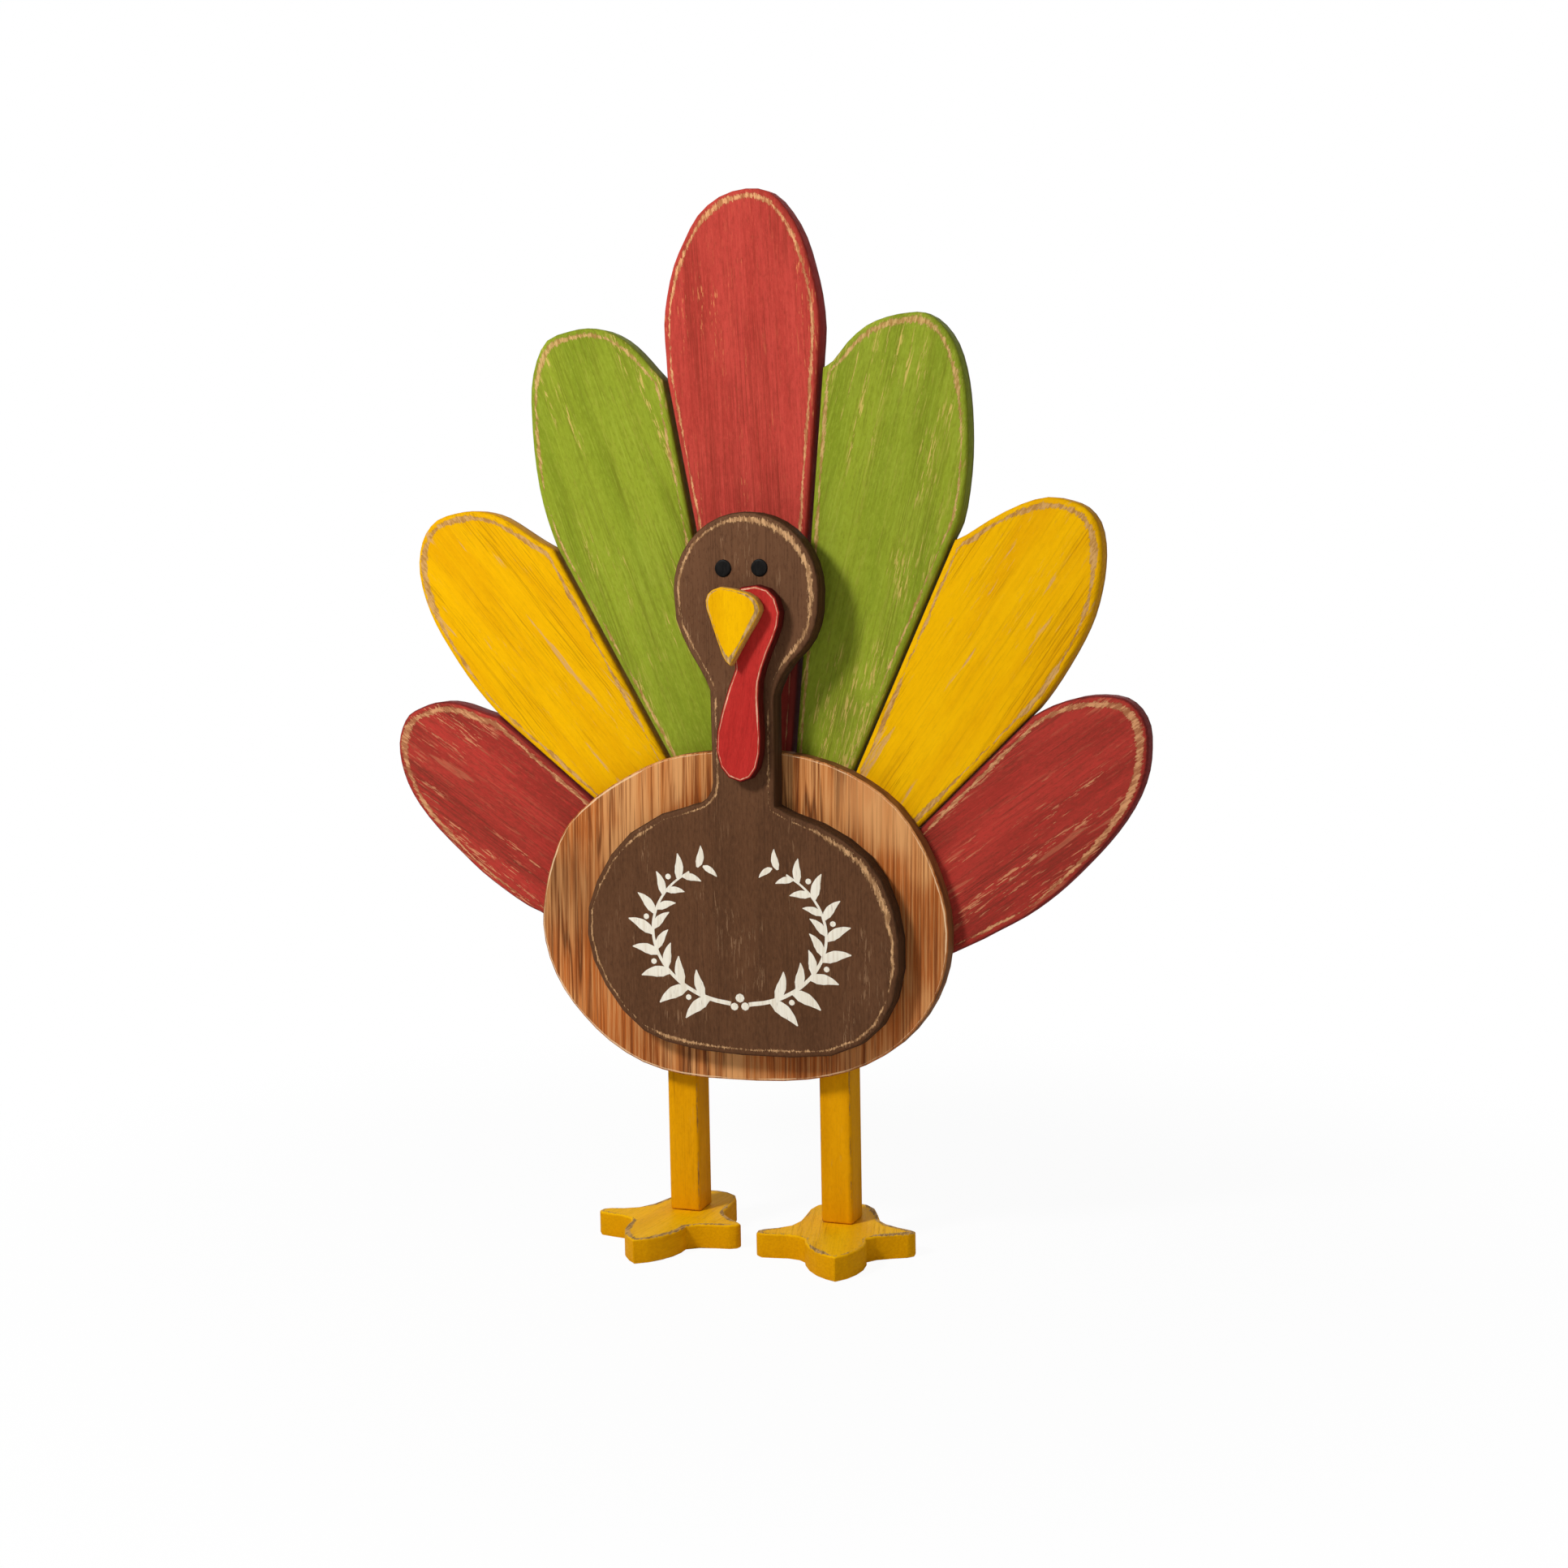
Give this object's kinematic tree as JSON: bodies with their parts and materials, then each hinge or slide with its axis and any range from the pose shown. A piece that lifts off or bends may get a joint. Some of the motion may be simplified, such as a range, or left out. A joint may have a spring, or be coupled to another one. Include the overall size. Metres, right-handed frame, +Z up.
{
  "type": "thanksgiving turkey figure",
  "caption": "Standing turkey figure of painted boards: a body disc, a fan of rounded tail feathers, a head board with beak and wattle, and square legs on feet that swivel.",
  "frame": {"origin": "on the ground, in the middle of the figure's width and depth", "axes": "+Z up through the head and the centre feather, -Y towards the viewer, +X to the viewer's right"},
  "size_m": [0.4698, 0.1144, 0.6159],
  "materials": {
    "red_paint": "brick red paint over wood, rubbed through along the edges",
    "centre_red_paint": "cherry red paint over wood, rubbed through along the edges",
    "green_paint": "olive green paint over wood, rubbed through along the edges",
    "yellow_paint": "golden yellow paint over wood with dark fine grain",
    "stained_wood": "orange-tan stain on open grain",
    "brown_paint": "chocolate brown paint, rubbed through along the edges",
    "wattle_paint": "red paint with a thin pale edge",
    "beak_paint": "bright yellow paint with a pale worn edge",
    "black_paint": "black paint with a slight sheen",
    "mustard_paint": "mustard yellow paint, edges rubbed grey-tan",
    "steel": "bright steel screws and brads"
  },
  "bodies": {
    "figure": {"body_disc": "stained_wood", "head_board": "brown_paint", "wattle": "wattle_paint", "beak": "beak_paint", "left_eye": "black_paint", "right_eye": "black_paint", "feather_red_left": "red_paint", "feather_yellow_left": "yellow_paint", "feather_green_left": "green_paint", "feather_centre": "centre_red_paint", "feather_green_right": "green_paint", "feather_yellow_right": "yellow_paint", "feather_red_right": "red_paint", "left_leg": "mustard_paint", "right_leg": "mustard_paint", "feather_red_left_screw_1": "steel", "feather_red_left_screw_2": "steel", "feather_yellow_left_screw_1": "steel", "feather_yellow_left_screw_2": "steel", "feather_green_left_screw_1": "steel", "feather_green_left_screw_2": "steel", "feather_centre_screw_1": "steel", "feather_centre_screw_2": "steel", "feather_green_right_screw_1": "steel", "feather_green_right_screw_2": "steel", "feather_yellow_right_screw_1": "steel", "feather_yellow_right_screw_2": "steel", "feather_red_right_screw_1": "steel", "feather_red_right_screw_2": "steel", "head_board_screw_1": "steel", "head_board_screw_2": "steel", "head_board_screw_3": "steel", "wattle_brad_1": "steel", "wattle_brad_2": "steel", "beak_brad": "steel", "left_leg_screw_1": "steel", "left_leg_screw_2": "steel", "right_leg_screw_1": "steel", "right_leg_screw_2": "steel", "left_foot_screw": "steel", "right_foot_screw": "steel"},
    "left_foot_board": {"left_foot": "mustard_paint"},
    "right_foot_board": {"right_foot": "mustard_paint"}
  },
  "joints": [
    {"name": "left_foot_swivel", "type": "hinge", "parent": "figure", "child": "left_foot_board", "pos_m": [-0.0485, 0.01847, 0.0146], "axis": [0, 0, -1], "range_deg": [-6.4, 86.6]},
    {"name": "right_foot_swivel", "type": "hinge", "parent": "figure", "child": "right_foot_board", "pos_m": [0.0485, 0.01847, 0.0146], "axis": [0, 0, 1], "range_deg": [-19.3, 73.7]}
  ]
}
